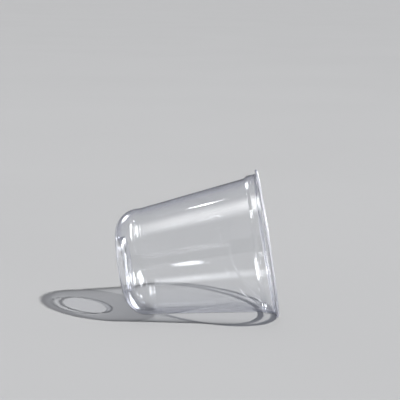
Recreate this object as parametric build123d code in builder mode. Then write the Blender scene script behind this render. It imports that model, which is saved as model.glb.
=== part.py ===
"""Clear plastic cold drink cup, drawn from one sheet: foot ring, round heel, tapered wall, shoulder, band and lip.

Millimetres. The cup stands on its foot ring at Z = 0 and its axis is the Z axis.
"""
import os
from math import acos, cos, degrees, radians, tan

from build123d import *

# Whole cup
rim_diameter = 98.0
cup_height = 98.4
wall_thickness = 0.4

# Flat lip that a lid clips over, with its root, its trimmed edges and the drinking edge softened
lip_overhang = 2.7
lip_thickness = 1.6
lip_root_bevel = 0.6
lip_edge_bevel = 0.3
mouth_bevel = 0.4

# Upright band under the lip, and the shoulder that keeps nested cups apart
band_height = 6.0
band_draft = 3.4
shoulder_height = 1.9
shoulder_step = 1.5

# Smooth tapered wall, and the shallow waist where it meets the heel
wall_draft = 7.5
waist_blend = 5.0

# Round heel that swells a little outside the line of the wall
heel_radius = 16.0
heel_bulge = 0.5

# Flat ring that the cup stands on, and the panel pushed up inside it
foot_width = 2.6
panel_rise = 2.8
panel_step_width = 1.8

# Length by which the sheet is drawn past the top of the lip before it is trimmed level
trim_overrun = 1.0

# Heights of the corners of the profile
lip_underside = cup_height - lip_thickness
band_foot = lip_underside - band_height
wall_top = band_foot - shoulder_height
band_top = cup_height + trim_overrun

# Radii of the corners of the profile, from the rim inwards and then down to the foot
band_slope = tan(radians(band_draft))
wall_slope = tan(radians(wall_draft))
rim_radius = rim_diameter / 2
lip_root_radius = rim_radius - lip_overhang
band_top_radius = lip_root_radius + (band_top - lip_underside) * band_slope
band_foot_radius = lip_root_radius - band_height * band_slope
wall_top_radius = band_foot_radius - shoulder_step
heel_line_radius = wall_top_radius - (wall_top - heel_radius) * wall_slope
foot_radius = heel_line_radius + heel_bulge - heel_radius
foot_inner_radius = foot_radius - foot_width
panel_radius = foot_inner_radius - panel_step_width

# The heel's arc runs from the foot past its widest point, to where it crosses the line of the wall
heel_centre = (foot_radius, heel_radius)
heel_reach_share = (heel_radius - heel_bulge) * cos(radians(wall_draft)) / heel_radius
heel_end_angle = degrees(acos(heel_reach_share)) - wall_draft

# The cup: one thin section, turned about its axis
with BuildPart() as cup:
    with BuildSketch(Plane.XZ) as section:
        # Outer face of the sheet, from the middle of the base up to the lip
        with BuildLine() as outer_face:
            panel = Line((0, panel_rise), (panel_radius, panel_rise))
            panel_step = Line(panel @ 1, (foot_inner_radius, 0))
            foot = Line(panel_step @ 1, (foot_radius, 0))
            heel = CenterArc(heel_centre, heel_radius, -90, 90 + heel_end_angle)
            wall = Line(heel @ 1, (wall_top_radius, wall_top))
            shoulder = Line(wall @ 1, (band_foot_radius, band_foot))
            band = Line(shoulder @ 1, (band_top_radius, band_top))
            waist = outer_face.vertices().sort_by_distance(wall @ 0)[0]
            fillet(waist, waist_blend)

            # Thickness of the sheet, on the side of the drink
            offset(amount=wall_thickness, kind=Kind.INTERSECTION, side=Side.LEFT)
        make_face()

        # Lip: a flat ring as thick as the sheet before it was drawn, trimmed level at the top
        lip_start_radius = lip_root_radius - wall_thickness / 2
        with Locations((lip_start_radius, lip_underside)):
            Rectangle(rim_radius - lip_start_radius, lip_thickness, align=Align.MIN)
        with Locations((0, cup_height)):
            Rectangle(rim_diameter, trim_overrun * 2, align=Align.MIN, mode=Mode.SUBTRACT)

        # Softened edges of the lip
        chamfer(section.vertices().group_by(Axis.X)[-1], lip_edge_bevel)
        lip_root = section.vertices().sort_by_distance((lip_root_radius, lip_underside))[0]
        chamfer(lip_root, lip_root_bevel)
        drinking_edge = section.vertices().group_by(Axis.Y)[-1].sort_by(Axis.X)[0]
        chamfer(drinking_edge, mouth_bevel)
    revolve(axis=Axis.Z)
cup.part.label = "cup"

os.makedirs("parts", exist_ok=True)
export_step(cup.part, "parts/cup.step")
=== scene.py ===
"""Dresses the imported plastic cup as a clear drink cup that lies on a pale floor, seen from the photograph's angle."""

import logging
import math
from dataclasses import dataclass, replace
from enum import Enum

import bpy
from mathutils import Matrix, Vector


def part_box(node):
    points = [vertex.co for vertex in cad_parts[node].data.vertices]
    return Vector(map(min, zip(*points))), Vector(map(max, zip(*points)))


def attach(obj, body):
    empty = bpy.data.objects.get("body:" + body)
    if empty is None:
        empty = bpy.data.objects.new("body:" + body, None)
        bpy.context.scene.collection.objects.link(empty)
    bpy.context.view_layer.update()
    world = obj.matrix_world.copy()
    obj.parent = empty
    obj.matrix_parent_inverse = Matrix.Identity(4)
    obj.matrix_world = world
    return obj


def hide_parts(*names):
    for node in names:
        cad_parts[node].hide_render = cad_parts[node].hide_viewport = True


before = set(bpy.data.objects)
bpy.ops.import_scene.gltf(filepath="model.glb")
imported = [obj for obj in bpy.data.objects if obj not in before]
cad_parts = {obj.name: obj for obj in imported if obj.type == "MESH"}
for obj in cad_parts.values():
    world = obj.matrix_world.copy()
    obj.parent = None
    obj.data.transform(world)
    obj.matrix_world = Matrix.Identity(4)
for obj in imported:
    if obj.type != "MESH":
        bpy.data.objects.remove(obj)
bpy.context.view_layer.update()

MM = 0.001
SHARP_BEND = 1.0 * MM
FEWEST_ARC_STEPS = 2
BEND_LAYER = "bend"
LOG = logging.getLogger("cup")

Triple = tuple[float, float, float]
Socket = bpy.types.NodeSocket


class Region(Enum):
    """Parts of the cup's surface that have a finish of their own. The value is the material index."""

    SHEET = 0
    BAND = 1
    LIP = 2
    CUT_EDGE = 3


class GroupName(Enum):
    """Names of the shader node groups that the finishes share."""

    WAVES = "drawn_sheet_waves"
    HAZE = "handling_haze"


class Ease(Enum):
    """Ways in which a ramp runs from one level to another."""

    STRAIGHT = "LINEAR"
    SMOOTH = "SMOOTHSTEP"


@dataclass(frozen=True)
class Station:
    """One point of the cup's section, with the direction that its surface faces."""

    radius: float
    height: float
    out: float
    up: float
    bend: float = 0.0
    region: Region = Region.SHEET

    def through(self, thickness: float) -> "Station":
        """The point on the other face of the sheet, facing the other way."""
        radius, height = self.radius - self.out * thickness, self.height - self.up * thickness
        return replace(self, radius=radius, height=height, out=-self.out, up=-self.up)

    def on_lip(self, cut_facing: float) -> "Station":
        """The same point as part of the lip, or of its cut edge where it faces outwards enough."""
        return replace(self, region=Region.CUT_EDGE if self.out > cut_facing else Region.LIP)


@dataclass(frozen=True)
class Corner:
    """A corner of the section's line, and the radius that rounds it off."""

    radius: float
    height: float
    blend: float = 0.0


def arc(centre: tuple[float, float], radius: float, start: float, end: float, step: float) -> list[Station]:
    """Points along an arc of the section, ends included.

    Args:
        centre: Middle of the arc, as a radius and a height.
        radius: The arc's own radius.
        start: Angle of the first point, in radians from the outward direction.
        end: Angle of the last point. Below start, the arc runs clockwise and is hollow from outside.
        step: Largest angle between two points.

    Returns:
        The points in order, facing to the right of the way they run.
    """
    count = max(FEWEST_ARC_STEPS, math.ceil(abs(end - start) / step))
    facing = 1.0 if end > start else -1.0
    bend = min(1.0, math.sqrt(SHARP_BEND / radius))
    stations = []
    for index in range(count + 1):
        angle = start + (end - start) * index / count
        out, up = math.cos(angle), math.sin(angle)
        place = (centre[0] + radius * out, centre[1] + radius * up)
        stations.append(Station(*place, facing * out, facing * up, bend))
    return stations


def rounded(corners: list[Corner], step: float) -> list[Station]:
    """Points along straight runs whose corners are rounded off.

    Args:
        corners: Corners in the order they are passed. The first and last ones are ends.
        step: Largest angle between two points of a rounding.

    Returns:
        The two ends and the points of each rounding, facing to the right of the way they run.
    """
    places = [Vector((corner.radius, corner.height)) for corner in corners]
    runs = [(b - a).normalized() for a, b in zip(places, places[1:])]
    stations = [Station(*places[0], runs[0].y, -runs[0].x)]
    for corner, place, before, after in zip(corners[1:-1], places[1:-1], runs, runs[1:]):
        turn = math.atan2(before.x * after.y - before.y * after.x, before.dot(after))
        side = math.copysign(1.0, turn)
        begin = place - before * (corner.blend * math.tan(abs(turn) / 2))
        centre = begin + Vector((-before.y, before.x)) * (side * corner.blend)
        start = math.atan2(*reversed((begin - centre).to_tuple()))
        stations += arc(centre.to_tuple(), corner.blend, start, start + turn, step)
    return stations + [Station(*places[-1], runs[-1].y, -runs[-1].x)]


def divided(stations: list[Station], longest: float) -> list[Station]:
    """The same line with more points on its long straight runs.

    Args:
        stations: Points of the line.
        longest: Largest distance between two points.

    Returns:
        The points with the new ones among them.
    """
    line = [stations[0]]
    for a, b in zip(stations, stations[1:]):
        count = math.ceil(math.hypot(b.radius - a.radius, b.height - a.height) / longest)
        flat = replace(b, bend=0.0, region=Region(min(a.region.value, b.region.value)))
        for index in range(1, count):
            share = index / count
            radius = a.radius + (b.radius - a.radius) * share
            height = a.height + (b.height - a.height) * share
            line.append(replace(flat, radius=radius, height=height))
        line.append(b)
    return line


@dataclass(frozen=True)
class CupSection:
    """The cup's section from the middle of its base to its lip. Lengths are in metres and angles in radians."""

    rim_diameter: float
    height: float
    wall: float = 0.4 * MM
    lip_overhang: float = 2.7 * MM
    lip_thickness: float = 1.6 * MM
    lip_edge: float = 0.5 * MM
    lip_root: float = 0.8 * MM
    mouth_edge: float = 0.8 * MM
    cut_facing: float = 0.8
    band_height: float = 6.0 * MM
    band_draft: float = math.radians(3.4)
    shoulder_height: float = 1.9 * MM
    shoulder_step: float = 1.5 * MM
    shoulder_blend: float = 0.9 * MM
    wall_draft: float = math.radians(7.5)
    waist_blend: float = 5.0 * MM
    heel: float = 16.0 * MM
    heel_bulge: float = 0.5 * MM
    foot_width: float = 1.0 * MM
    panel_rise: float = 6.0 * MM
    panel_step_width: float = 0.6 * MM
    panel_blend: float = 0.9 * MM
    heel_step: float = math.radians(4.0)
    blend_step: float = math.radians(12.0)
    longest_run: float = 2.0 * MM

    @property
    def lip_underside(self) -> float:
        """Height of the lip's underside."""
        return self.height - self.lip_thickness

    @property
    def band_foot(self) -> Corner:
        """Corner where the band meets the shoulder."""
        radius = self.rim_diameter / 2 - self.lip_overhang - self.band_height * math.tan(self.band_draft)
        return Corner(radius, self.lip_underside - self.band_height, self.shoulder_blend)

    @property
    def wall_top(self) -> Corner:
        """Corner where the wall meets the shoulder."""
        foot = self.band_foot
        return Corner(foot.radius - self.shoulder_step, foot.height - self.shoulder_height, self.shoulder_blend)

    @property
    def foot_radius(self) -> float:
        """Radius of the foot ring's outer edge, under the middle of the heel's arc."""
        top = self.wall_top
        wall_line = top.radius - (top.height - self.heel) * math.tan(self.wall_draft)
        return wall_line + self.heel_bulge - self.heel

    @property
    def lean(self) -> float:
        """Angle between the cup's axis and a floor that it lies on, by its heel and its lip."""
        out = self.rim_diameter / 2 - self.lip_edge - self.foot_radius
        up = self.lip_underside + self.lip_edge - self.heel
        return math.atan2(out, up) - math.asin((self.heel - self.lip_edge) / math.hypot(out, up))

    def base(self) -> list[Station]:
        """Underside of the base: the pushed-up panel, its step and the foot ring."""
        inner = self.foot_radius - self.foot_width
        corners = [
            Corner(0.0, self.panel_rise),
            Corner(inner - self.panel_step_width, self.panel_rise, self.panel_blend),
            Corner(inner, 0.0, self.panel_blend),
            Corner(self.foot_radius, 0.0),
        ]
        return rounded(corners, self.blend_step)

    def heel_and_waist(self) -> list[Station]:
        """The round heel, and the hollow waist that leads from it into the wall."""
        centre = Vector((self.foot_radius, self.heel))
        outwards = Vector((math.cos(self.wall_draft), -math.sin(self.wall_draft)))
        upwards = Vector((math.sin(self.wall_draft), math.cos(self.wall_draft)))
        reach = (self.heel - self.heel_bulge) * math.cos(self.wall_draft) + self.waist_blend
        along = math.sqrt((self.heel + self.waist_blend) ** 2 - reach**2)
        waist_centre = centre + outwards * reach + upwards * along
        meeting = math.atan2(waist_centre.y - centre.y, waist_centre.x - centre.x)
        heel = arc(centre.to_tuple(), self.heel, -math.pi / 2, meeting, self.heel_step)
        wall_side = math.pi - self.wall_draft
        waist = arc(waist_centre.to_tuple(), self.waist_blend, meeting + math.pi, wall_side, self.heel_step)
        return heel[1:] + waist[1:]

    def wall_and_band(self, start: Station) -> list[Station]:
        """The tapered wall, the shoulder and the band, up to the end of the shoulder's upper blend.

        Args:
            start: Top of the waist, where the wall begins.

        Returns:
            The points above the start.
        """
        band_end = Corner(self.rim_diameter / 2 - self.lip_overhang, self.lip_underside)
        corners = [Corner(start.radius, start.height), self.wall_top, self.band_foot, band_end]
        line = rounded(corners, self.blend_step)[1:-1]
        return [replace(s, region=Region.BAND) if s.height > self.wall_top.height else s for s in line]

    def lip(self, below: Station) -> list[Station]:
        """The lip's root, its flat underside, its trimmed edge, its flat top and the drinking edge.

        Args:
            below: Last point of the outer face under the lip.

        Returns:
            The points of the lip, from its root round to the drinking edge.
        """
        rim = self.rim_diameter / 2
        root = rim - self.lip_overhang
        slope = math.tan(self.band_draft)
        mouth = root + self.lip_thickness * slope - self.wall / math.cos(self.band_draft)
        inside = below.through(self.wall)
        corners = [
            Corner(below.radius, below.height),
            Corner(root, self.lip_underside, self.lip_root),
            Corner(rim, self.lip_underside, self.lip_edge),
            Corner(rim, self.height, self.lip_edge),
            Corner(mouth, self.height, self.mouth_edge),
            Corner(inside.radius, inside.height),
        ]
        return [station.on_lip(self.cut_facing) for station in rounded(corners, self.blend_step)[1:-1]]

    def outline(self) -> list[Station]:
        """The whole closed section, from the axis under the base round the lip to the axis inside."""
        outer = self.base() + self.heel_and_waist()
        outer += self.wall_and_band(outer[-1])
        inner = [station.through(self.wall) for station in reversed(outer)]
        return divided(outer + self.lip(outer[-1]) + inner, self.longest_run)


@dataclass(frozen=True)
class NodeBench:
    """Adds nodes to one node tree and joins them up."""

    tree: bpy.types.NodeTree

    def add(self, kind: str) -> bpy.types.Node:
        """A new node of the given kind."""
        return self.tree.nodes.new(kind)

    def feed(self, slot: Socket, value: Socket | Vector | float | tuple[float, ...]) -> None:
        """Joins an input to a socket, or sets it to a plain value.

        Args:
            slot: The input.
            value: The socket or the plain value.
        """
        if isinstance(value, Socket):
            self.tree.links.new(value, slot)
        else:
            slot.default_value = value

    def maths(self, operation: str, *values: Socket | float) -> Socket:
        """Adds a sum.

        Args:
            operation: Blender's name for the kind of sum.
            values: What it is made of, in order.

        Returns:
            The result.
        """
        node = self.add("ShaderNodeMath")
        node.operation = operation
        for slot, value in zip(node.inputs, values):
            self.feed(slot, value)
        return node.outputs[0]

    def mix(self, share: Socket, first: Socket | Triple, second: Socket | Triple) -> Socket:
        """Adds a mix of two colours.

        Args:
            share: Share of the second colour.
            first: The colour where the share is 0.
            second: The colour where the share is 1.

        Returns:
            The mixed colour.
        """
        node = self.add("ShaderNodeMix")
        node.data_type = "RGBA"
        self.feed(node.inputs["Factor"], share)
        for name, colour in (("A", first), ("B", second)):
            self.feed(node.inputs[name], (*colour, 1.0) if isinstance(colour, tuple) else colour)
        return node.outputs["Result"]

    def ramp(
        self,
        value: Socket,
        span: tuple[float, float],
        levels: tuple[Socket | float, Socket | float],
        ease: Ease = Ease.STRAIGHT,
    ) -> Socket:
        """Adds a ramp from one level to another.

        Args:
            value: What the ramp follows.
            span: Values at which it begins and ends.
            levels: Levels at its beginning and at its end.
            ease: How it runs between them.

        Returns:
            The level.
        """
        node = self.add("ShaderNodeMapRange")
        node.interpolation_type = ease.value
        names = ("Value", "From Min", "From Max", "To Min", "To Max")
        for name, setting in zip(names, (value, *span, *levels)):
            self.feed(node.inputs[name], setting)
        return node.outputs["Result"]

    def noise(
        self, scale: float, detail: float, stretch: Triple = (1.0, 1.0, 1.0), turn: Triple = (0.0, 0.0, 0.0)
    ) -> Socket:
        """Adds a cloudy pattern that stays with the object.

        Args:
            scale: How fine the pattern is.
            detail: How many finer layers it has.
            stretch: Factor along each of the object's axes.
            turn: Turn about each axis after that, in radians.

        Returns:
            The pattern, as a value around a half.
        """
        mapping = self.add("ShaderNodeMapping")
        self.feed(mapping.inputs["Vector"], self.add("ShaderNodeTexCoord").outputs["Object"])
        self.feed(mapping.inputs["Scale"], stretch)
        self.feed(mapping.inputs["Rotation"], turn)
        noise = self.add("ShaderNodeTexNoise")
        self.feed(noise.inputs["Vector"], mapping.outputs["Vector"])
        self.feed(noise.inputs["Scale"], scale)
        self.feed(noise.inputs["Detail"], detail)
        return noise.outputs["Fac"]

    def slant(self, power: float) -> Socket:
        """Adds a share that is 0 where the surface is met square on and rises to 1 where it is grazed.

        Args:
            power: How close to grazing the share stays low.

        Returns:
            The share.
        """
        return self.maths("POWER", self.add("ShaderNodeLayerWeight").outputs["Facing"], power)

    def group(self, name: GroupName, **values: float) -> Socket:
        """Adds a node group.

        Args:
            name: The group's name.
            values: Its inputs, by their names.

        Returns:
            Its only output.
        """
        node = self.add("ShaderNodeGroup")
        node.node_tree = bpy.data.node_groups[name.value]
        for title, value in values.items():
            self.feed(node.inputs[title], value)
        return node.outputs[0]

    def choose(self, share: Socket, first: Socket, second: Socket) -> Socket:
        """Adds a choice between two shaders.

        Args:
            share: 0 for the first shader and 1 for the second.
            first: The first shader.
            second: The second shader.

        Returns:
            The chosen shader.
        """
        node = self.add("ShaderNodeMixShader")
        for slot, value in zip(node.inputs, (share, first, second)):
            self.feed(slot, value)
        return node.outputs[0]


def new_group(name: GroupName, inputs: tuple[str, ...], output: str) -> tuple[NodeBench, bpy.types.Node, Socket]:
    """Starts a shader node group.

    Args:
        name: The group's name.
        inputs: Names of its inputs.
        output: Name of its output.

    Returns:
        A bench for the group's nodes, the node that brings the inputs in, and the socket that takes the output.
    """
    group = bpy.data.node_groups.new(name.value, "ShaderNodeTree")
    for title in inputs:
        group.interface.new_socket(title, in_out="INPUT", socket_type="NodeSocketFloat")
    group.interface.new_socket(output, in_out="OUTPUT", socket_type="NodeSocketFloat")
    bench = NodeBench(group)
    return bench, bench.add("NodeGroupInput"), bench.add("NodeGroupOutput").inputs[output]


@dataclass(frozen=True)
class DrawnSheetWaves:
    """Node group: the faint waves, draw lines and rings that forming leaves in a sheet, as a height in metres."""

    wave_scale: float = 55.0
    wave_detail: float = 1.0
    line_scale: float = 420.0
    line_detail: float = 2.0
    ring_scale: float = 900.0
    ring_detail: float = 1.0
    along_stretch: float = 0.45
    round_stretch: float = 0.04

    def build(self) -> None:
        """Makes the group, with the inputs Waves, Lines and Rings and the output Height."""
        along, around = (1.0, 1.0, self.along_stretch), (self.round_stretch, self.round_stretch, 1.0)
        layers = {
            "Waves": (self.wave_scale, self.wave_detail, along),
            "Lines": (self.line_scale, self.line_detail, along),
            "Rings": (self.ring_scale, self.ring_detail, around),
        }
        bench, inlet, outlet = new_group(GroupName.WAVES, tuple(layers), "Height")
        total: Socket | float = 0.0
        for name, pattern in layers.items():
            height = bench.maths("MULTIPLY", bench.noise(*pattern), inlet.outputs[name])
            total = bench.maths("ADD", total, height)
        bench.feed(outlet, total)


@dataclass(frozen=True)
class HandlingHaze:
    """Node group: the uneven haze and fine scuffs that handling leaves, as a roughness."""

    cloud_scale: float = 70.0
    cloud_detail: float = 3.0
    cloud_span: tuple[float, float] = (0.4, 0.75)
    scuff_scale: float = 900.0
    scuff_detail: float = 1.0
    scuff_span: tuple[float, float] = (0.66, 0.78)
    scuff_stretch: float = 0.06
    scuff_turn: Triple = (0.4, 0.7, 0.2)

    def build(self) -> None:
        """Makes the group, with the inputs Clear, Hazy and Scuffs and the output Roughness."""
        bench, inlet, outlet = new_group(GroupName.HAZE, ("Clear", "Hazy", "Scuffs"), "Roughness")
        cloud = bench.noise(self.cloud_scale, self.cloud_detail)
        haze = bench.ramp(cloud, self.cloud_span, (inlet.outputs["Clear"], inlet.outputs["Hazy"]))
        scratch = bench.noise(self.scuff_scale, self.scuff_detail, (1.0, 1.0, self.scuff_stretch), self.scuff_turn)
        scuffs = bench.ramp(scratch, self.scuff_span, (0.0, inlet.outputs["Scuffs"]))
        bench.feed(outlet, bench.maths("ADD", haze, scuffs))


@dataclass(frozen=True)
class ClearPlastic:
    """A clear glossy plastic, with its tint, its gloss and the marks of forming and handling.

    The lamp colours are the shares of the lamps' light that pass one face of the sheet: where they meet it square on,
    where they graze it, and where it bends sharply.
    """

    name: str
    tint: Triple
    clear_roughness: float
    hazy_roughness: float
    scuff_roughness: float
    wave_height: float
    line_height: float
    ring_height: float = 0.0
    edge_tint: Triple = (0.62, 0.65, 0.86)
    edge_power: float = 3.0
    lamp_facing: Triple = (0.965, 0.968, 0.975)
    lamp_grazing: Triple = (0.05, 0.055, 0.07)
    lamp_bend: Triple = (0.15, 0.16, 0.19)
    lamp_power: float = 5.0
    refraction: float = 1.57
    clearness: float = 1.0

    def material(self) -> bpy.types.Material:
        """Makes the material: clear plastic to the eye, and a tinted pane to the light of the lamps."""
        material = bpy.data.materials.new(self.name)
        material.use_nodes = True
        nodes, bench = material.node_tree.nodes, NodeBench(material.node_tree)
        shader = nodes["Principled BSDF"]
        shader.inputs["Transmission Weight"].default_value = self.clearness
        shader.inputs["IOR"].default_value = self.refraction
        self.dress(bench, shader)
        pane = self.lamp_pane(bench)
        path = bench.add("ShaderNodeLightPath")
        surface = shader.outputs[0]
        for ray in ("Is Diffuse Ray", "Is Shadow Ray"):
            surface = bench.choose(path.outputs[ray], surface, pane)
        bench.feed(nodes["Material Output"].inputs["Surface"], surface)
        return material

    def dress(self, bench: NodeBench, shader: bpy.types.Node) -> None:
        """Adds the tint, which deepens along the edges, the haze and the waves to the plastic.

        Args:
            bench: The material's nodes.
            shader: The plastic's own shader.
        """
        tone = bench.mix(bench.slant(self.edge_power), self.tint, self.edge_tint)
        haze = bench.group(
            GroupName.HAZE, Clear=self.clear_roughness, Hazy=self.hazy_roughness, Scuffs=self.scuff_roughness
        )
        waves = bench.group(GroupName.WAVES, Waves=self.wave_height, Lines=self.line_height, Rings=self.ring_height)
        bump = bench.add("ShaderNodeBump")
        bump.inputs["Strength"].default_value = 1.0
        bump.inputs["Distance"].default_value = 1.0
        bench.feed(bump.inputs["Height"], waves)
        bench.feed(shader.inputs["Base Color"], tone)
        bench.feed(shader.inputs["Roughness"], haze)
        bench.feed(shader.inputs["Normal"], bump.outputs["Normal"])

    def lamp_pane(self, bench: NodeBench) -> Socket:
        """Adds what the lamps shine through: nearly clear, but darker where they graze the sheet and where it bends.

        Args:
            bench: The material's nodes.

        Returns:
            The see-through shader.
        """
        bend = bench.add("ShaderNodeAttribute")
        bend.attribute_name = BEND_LAYER
        bent = bench.mix(bend.outputs["Fac"], self.lamp_facing, self.lamp_bend)
        pane = bench.add("ShaderNodeBsdfTransparent")
        bench.feed(pane.inputs["Color"], bench.mix(bench.slant(self.lamp_power), bent, self.lamp_grazing))
        return pane.outputs[0]


@dataclass(frozen=True)
class PaleFloor:
    """The floor's finish: matt, pale and a little uneven, and open to a camera under it."""

    name: str = "pale_floor"
    light: Triple = (0.57, 0.572, 0.578)
    dark: Triple = (0.545, 0.547, 0.553)
    cloud_scale: float = 3.0
    cloud_detail: float = 2.0
    roughness: float = 0.6
    shine: float = 0.0

    def material(self) -> bpy.types.Material:
        """Makes the floor's material."""
        material = bpy.data.materials.new(self.name)
        material.use_nodes = True
        nodes, bench = material.node_tree.nodes, NodeBench(material.node_tree)
        shader = nodes["Principled BSDF"]
        shader.inputs["Roughness"].default_value = self.roughness
        shader.inputs["Specular IOR Level"].default_value = self.shine
        cloud = bench.noise(self.cloud_scale, self.cloud_detail)
        bench.feed(shader.inputs["Base Color"], bench.mix(cloud, self.dark, self.light))
        side = bench.add("ShaderNodeNewGeometry").outputs["Backfacing"]
        clear = bench.add("ShaderNodeBsdfTransparent").outputs[0]
        bench.feed(nodes["Material Output"].inputs["Surface"], bench.choose(side, shader.outputs[0], clear))
        return material


@dataclass(frozen=True)
class LyingFrame:
    """Directions for a cup that lies on its side: right towards the mouth, away from the viewer, and up."""

    lean: float
    middle: Vector

    def direction(self, right: float, away: float, up: float) -> Vector:
        """A direction given by its parts to the right, away and up, in the cup's own frame."""
        cosine, sine = math.cos(self.lean), math.sin(self.lean)
        return Vector((sine * right - cosine * up, away, cosine * right + sine * up))

    def facing(self, compass: float, height: float, twist: float = 0.0) -> Matrix:
        """The turn of a lamp that faces the cup. All angles are in degrees.

        Args:
            compass: Angle round the cup, 0 at the viewer and growing towards the mouth's side.
            height: Angle above the floor.
            twist: Turn of the lamp about its own middle line.

        Returns:
            The turn, with the lamp's width level where the twist is 0. Its third column points from the cup to the
            lamp.
        """
        turn, rise = math.radians(compass), math.radians(height)
        level = math.cos(rise)
        back = self.direction(math.sin(turn) * level, -math.cos(turn) * level, math.sin(rise))
        across = self.direction(math.cos(turn), math.sin(turn), 0.0)
        axes = Matrix((across, back.cross(across), back)).transposed()
        return axes @ Matrix.Rotation(math.radians(twist), 3, "Z")


@dataclass
class Cup:
    """The cup: one clear sheet from foot ring to lip, with fine rings round its band and a duller, trimmed lip."""

    section: CupSection
    segments: int = 320

    def build(self) -> bpy.types.Object:
        """Makes the cup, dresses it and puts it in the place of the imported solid."""
        mesh = self.turned(self.section.outline())
        cup = bpy.data.objects.new("clear_cup", mesh)
        bpy.context.scene.collection.objects.link(cup)
        for material in self.materials():
            mesh.materials.append(material)
        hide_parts("cup")
        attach(cup, "root")
        return cup

    def turned(self, outline: list[Station]) -> bpy.types.Mesh:
        """Turns the section about the cup's axis.

        Args:
            outline: The section, from the axis under the base to the axis inside.

        Returns:
            The closed mesh, with the true direction of the surface at each point.
        """
        rings = outline[1:-1]
        turns = [2 * math.pi * index / self.segments for index in range(self.segments)]
        compass = [(math.cos(turn), math.sin(turn)) for turn in turns]
        points = [(s.radius * c, s.radius * d, s.height) for s in rings for c, d in compass]
        facing = [(s.out * c, s.out * d, s.up) for s in rings for c, d in compass]
        faces, regions, bends = [], [], []
        for ring, (below, above) in enumerate(zip(rings, rings[1:])):
            for index in range(self.segments):
                after = (index + 1) % self.segments
                low, high = ring * self.segments, (ring + 1) * self.segments
                faces.append((low + index, low + after, high + after, high + index))
            regions += [min(below.region.value, above.region.value)] * self.segments
            bends += [min(below.bend, above.bend)] * self.segments
        last = (len(rings) - 1) * self.segments
        for pole, first, turned_up in ((outline[0], 0, False), (outline[-1], last, True)):
            points.append((0.0, 0.0, pole.height))
            facing.append((0.0, 0.0, pole.up))
            for index in range(self.segments):
                edge = (first + index, first + (index + 1) % self.segments)
                faces.append((*(edge if turned_up else edge[::-1]), len(points) - 1))
            regions += [Region.SHEET.value] * self.segments
            bends += [0.0] * self.segments
        mesh = bpy.data.meshes.new("clear_cup")
        mesh.from_pydata(points, [], faces)
        mesh.polygons.foreach_set("material_index", regions)
        mesh.polygons.foreach_set("use_smooth", [True] * len(faces))
        mesh.attributes.new(BEND_LAYER, "FLOAT", "FACE").data.foreach_set("value", bends)
        mesh.normals_split_custom_set_from_vertices(facing)
        mesh.update()
        return mesh

    def materials(self) -> list[bpy.types.Material]:
        """Makes the finishes in the order of the regions."""
        DrawnSheetWaves().build()
        HandlingHaze().build()
        sheet = ClearPlastic(
            name="clear_sheet",
            tint=(0.972, 0.978, 0.99),
            clear_roughness=0.015,
            hazy_roughness=0.05,
            scuff_roughness=0.05,
            wave_height=0.12 * MM,
            line_height=0.003 * MM,
        )
        rim_bend = (0.45, 0.46, 0.5)
        band = replace(sheet, name="ringed_band", ring_height=0.09 * MM, lamp_bend=rim_bend)
        lip = ClearPlastic(
            name="trimmed_lip",
            tint=(0.95, 0.96, 0.985),
            clear_roughness=0.05,
            hazy_roughness=0.14,
            scuff_roughness=0.1,
            wave_height=0.02 * MM,
            line_height=0.004 * MM,
            lamp_facing=(0.85, 0.86, 0.88),
            lamp_bend=rim_bend,
            clearness=0.75,
        )
        cut_edge = ClearPlastic(
            name="frosted_cut_edge",
            tint=(0.9, 0.91, 0.985),
            clear_roughness=0.12,
            hazy_roughness=0.25,
            scuff_roughness=0.1,
            wave_height=0.01 * MM,
            line_height=0.01 * MM,
            lamp_facing=(0.6, 0.61, 0.64),
            lamp_bend=rim_bend,
            clearness=0.4,
        )
        return [finish.material() for finish in (sheet, band, lip, cut_edge)]


@dataclass
class Floor:
    """The floor that the cup lies on, under its heel and its lip."""

    section: CupSection
    lying: LyingFrame
    half_width: float = 20.0
    finish: PaleFloor = PaleFloor()

    def build(self) -> bpy.types.Object:
        """Makes the floor as a flat square."""
        heel = Vector((self.section.foot_radius, 0.0, self.section.heel))
        touch = heel - self.lying.direction(0.0, 0.0, self.section.heel)
        mesh = bpy.data.meshes.new("floor")
        corners = [(-1, -1), (1, -1), (1, 1), (-1, 1)]
        offsets = [self.lying.direction(a * self.half_width, b * self.half_width, 0.0) for a, b in corners]
        mesh.from_pydata([touch + offset for offset in offsets], [], [(0, 1, 2, 3)])
        mesh.materials.append(self.finish.material())
        floor = bpy.data.objects.new("floor", mesh)
        bpy.context.scene.collection.objects.link(floor)
        return floor


@dataclass(frozen=True)
class FarLamp:
    """The main lamp, so far off that it lights the whole floor alike. Angles are in degrees."""

    name: str
    compass: float
    height: float
    level: float
    spread: float

    def build(self, lying: LyingFrame) -> bpy.types.Object:
        """Makes the lamp.

        Args:
            lying: Directions of the lying cup.

        Returns:
            The lamp's object.
        """
        data = bpy.data.lights.new(self.name, "SUN")
        data.energy = self.level
        data.angle = math.radians(self.spread)
        lamp = bpy.data.objects.new(self.name, data)
        lamp.matrix_world = lying.facing(self.compass, self.height).to_4x4()
        lamp.visible_camera = False
        bpy.context.scene.collection.objects.link(lamp)
        return lamp


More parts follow.
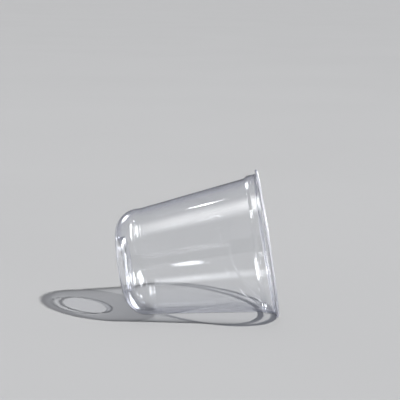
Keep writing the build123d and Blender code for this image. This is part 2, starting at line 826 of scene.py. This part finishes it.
@dataclass(frozen=True)
class SoftLamp:
    """A flat studio lamp that faces the cup.

    The compass angle is 0 at the viewer and grows towards the mouth's side. The height angle is taken from the floor.
    Angles are in degrees, and lengths are in metres. A card is only seen where the plastic mirrors it, and casts no
    light on the floor.
    """

    name: str
    compass: float
    height: float
    twist: float
    distance: float
    width: float
    depth: float
    radiance: float
    feather: float = 1.0
    is_card: bool = True

    def build(self, lying: LyingFrame) -> bpy.types.Object:
        """Makes the lamp.

        Args:
            lying: Directions of the lying cup.

        Returns:
            The lamp's object.
        """
        data = bpy.data.lights.new(self.name, "AREA")
        data.shape = "RECTANGLE"
        data.size, data.size_y = self.width, self.depth
        data.energy = math.pi * self.width * self.depth * self.radiance
        self.soften(data)
        lamp = bpy.data.objects.new(self.name, data)
        axes = lying.facing(self.compass, self.height, self.twist)
        lamp.matrix_world = Matrix.Translation(lying.middle + axes.col[2] * self.distance) @ axes.to_4x4()
        lamp.visible_camera = False
        lamp.visible_diffuse = not self.is_card
        lamp.visible_transmission = self.is_card
        bpy.context.scene.collection.objects.link(lamp)
        return lamp

    def soften(self, data: bpy.types.Light) -> None:
        """Lets the lamp fade out towards its edges, as cloth over a lamp does, and hides a card that isn't mirrored.

        Args:
            data: The lamp's light.
        """
        data.use_nodes = True
        bench = NodeBench(data.node_tree)
        spot = bench.add("ShaderNodeSeparateXYZ")
        bench.feed(spot.inputs[0], bench.add("ShaderNodeNewGeometry").outputs["Parametric"])
        # The spot runs from 0 to 1 across the lamp, so a half is both its middle and the way from there to an edge
        half = 0.5
        fades = []
        for place in (spot.outputs["X"], spot.outputs["Y"]):
            off_middle = bench.maths("ABSOLUTE", bench.maths("SUBTRACT", place, half))
            fades.append(bench.ramp(off_middle, (half, half - self.feather / 2), (0.0, 1.0), Ease.SMOOTH))
        strength = bench.maths("MULTIPLY", *fades)
        if self.is_card:
            mirrored = bench.maths("MINIMUM", bench.add("ShaderNodeLightPath").outputs["Glossy Depth"], 1.0)
            strength = bench.maths("MULTIPLY", strength, mirrored)
        bench.feed(data.node_tree.nodes["Emission"].inputs["Strength"], strength)


@dataclass
class Studio:
    """Lamps and the pale room around the cup."""

    lying: LyingFrame
    walls: Triple = (0.18, 0.182, 0.188)
    ceiling: Triple = (0.1, 0.102, 0.108)
    backdrop: Triple = (0.55, 0.552, 0.558)
    lamps: tuple[FarLamp | SoftLamp, ...] = (
        # Name, compass, height, level and spread
        FarLamp("side_key", 58.0, 43.7, 3.7, 2.0),
        # Name, compass, height, twist, distance, width, depth and radiance
        SoftLamp("ceiling_box", 8.0, 82.0, 0.0, 3.0, 3.0, 3.0, 1.0, is_card=False),
        SoftLamp("upper_band", -78.6, 68.5, -21.1, 2.4, 1.9, 1.1, 3.0),
        SoftLamp("lower_band", 8.3, 63.9, 3.2, 2.4, 0.6, 1.0, 4.0),
        SoftLamp("front_lamp", 9.8, 31.4, 1.6, 1.5, 0.055, 0.24, 110.0),
        SoftLamp("back_lamp", -137.2, 62.6, -9.4, 1.22, 0.06, 0.06, 40.0, feather=0.6),
        SoftLamp("heel_strip_left", -87.7, 55.5, -13.5, 2.0, 1.9, 0.34, 11.0, feather=0.7),
        SoftLamp("heel_strip_top", -58.0, 75.7, -32.0, 2.0, 1.5, 0.55, 8.5),
        SoftLamp("key_card", 50.9, 47.5, 9.6, 2.0, 1.3, 1.3, 20.0, feather=0.7),
        SoftLamp("right_card", 103.1, 16.8, 7.8, 2.0, 1.3, 1.4, 25.0, feather=0.7),
        SoftLamp("heel_card", 97.0, 29.0, 5.0, 2.0, 0.9, 0.8, 40.0, feather=0.8),
        SoftLamp("lower_heel_card", 126.0, 60.0, 0.0, 2.0, 0.3, 0.3, 30.0),
        SoftLamp("low_back_card", 157.0, 12.0, 4.0, 2.0, 0.9, 0.9, 16.0, feather=0.7),
        SoftLamp("left_card", -97.5, 17.2, -7.9, 1.7, 0.3, 0.6, 20.0, feather=0.6),
        SoftLamp("far_left_card", -147.3, 23.6, -4.3, 2.0, 0.8, 0.8, 7.0),
    )

    def build(self) -> None:
        """Makes the world and the lamps, and sets the plain view transform."""
        scene = bpy.context.scene
        scene.view_settings.view_transform = "Standard"
        scene.world = self.room()
        for lamp in self.lamps:
            lamp.build(self.lying)
            LOG.info("lamp %s", lamp.name)

    def room(self) -> bpy.types.World:
        """Makes the room: a pale backdrop to the eye, and for all else walls that darken towards the ceiling."""
        world = bpy.data.worlds.new("pale_room")
        world.use_nodes = True
        bench = NodeBench(world.node_tree)
        height = bench.add("ShaderNodeVectorMath")
        height.operation = "DOT_PRODUCT"
        bench.feed(height.inputs[0], bench.add("ShaderNodeTexCoord").outputs["Generated"])
        bench.feed(height.inputs[1], self.lying.direction(0.0, 0.0, 1.0))
        tone = bench.mix(height.outputs["Value"], self.walls, self.ceiling)
        path = bench.add("ShaderNodeLightPath")
        unmirrored = bench.maths("LESS_THAN", path.outputs["Glossy Depth"], 1.0)
        through = bench.maths("MULTIPLY", path.outputs["Is Transmission Ray"], unmirrored)
        seen = bench.maths("MAXIMUM", path.outputs["Is Camera Ray"], through)
        bench.feed(world.node_tree.nodes["Background"].inputs["Color"], bench.mix(seen, tone, self.backdrop))
        return world


@dataclass(frozen=True)
class PhotoCamera:
    """The camera of the photograph, worked out from the cup's outline. Angles are in radians, lengths in metres."""

    lens_mm: float = 108.82
    sensor_mm: float = 36.0
    distance: float = 0.79654
    aim_height: float = 0.05
    aim_right: float = -0.0033255
    aim_down: float = 0.0355312
    axis_turn: float = -0.1488
    axis_lean: float = -0.016
    floor_fall: float = math.radians(10.33)
    floor_roll: float = math.radians(0.838)
    clip_near: float = 0.01
    clip_far: float = 50.0

    def build(self) -> bpy.types.Object:
        """Makes the camera and sets it as the scene's own."""
        level = math.cos(self.axis_lean)
        axis = Vector((math.cos(self.axis_turn) * level, math.sin(self.axis_turn) * level, math.sin(self.axis_lean)))
        fall = math.cos(self.floor_fall)
        floor_up = Vector(
            (math.sin(self.floor_roll) * fall, -math.cos(self.floor_roll) * fall, -math.sin(self.floor_fall))
        )
        rise = (floor_up - axis * floor_up.dot(axis)).normalized()
        side = axis.cross(rise)
        to_cup = Matrix((-rise, -side, axis))
        right, down, forward = (to_cup.col[index].copy() for index in range(3))
        aim = Vector((0.0, 0.0, self.aim_height))
        place = aim - right * self.aim_right - down * self.aim_down - forward * self.distance
        data = bpy.data.cameras.new("photo_camera")
        data.lens, data.sensor_width, data.sensor_fit = self.lens_mm, self.sensor_mm, "HORIZONTAL"
        data.clip_start, data.clip_end = self.clip_near, self.clip_far
        camera = bpy.data.objects.new("photo_camera", data)
        turn = Matrix((right, -down, -forward)).transposed().to_4x4()
        camera.matrix_world = Matrix.Translation(place) @ turn
        bpy.context.scene.collection.objects.link(camera)
        bpy.context.scene.camera = camera
        return camera


def main() -> None:
    """Builds the cup, the floor, the lamps and the camera."""
    logging.basicConfig(level=logging.INFO, format="%(name)s: %(message)s")
    low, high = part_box("cup")
    section = CupSection(rim_diameter=high[0] - low[0], height=high[2] - low[2])
    cup = Cup(section).build()
    LOG.info("piece %s, %d faces", cup.name, len(cup.data.polygons))
    lying = LyingFrame(section.lean, Vector((0.0, 0.0, section.height / 2)))
    floor = Floor(section, lying).build()
    LOG.info("stage %s", floor.name)
    Studio(lying).build()
    camera = PhotoCamera().build()
    LOG.info("camera %s", camera.name)


if __name__ == "__main__":
    main()
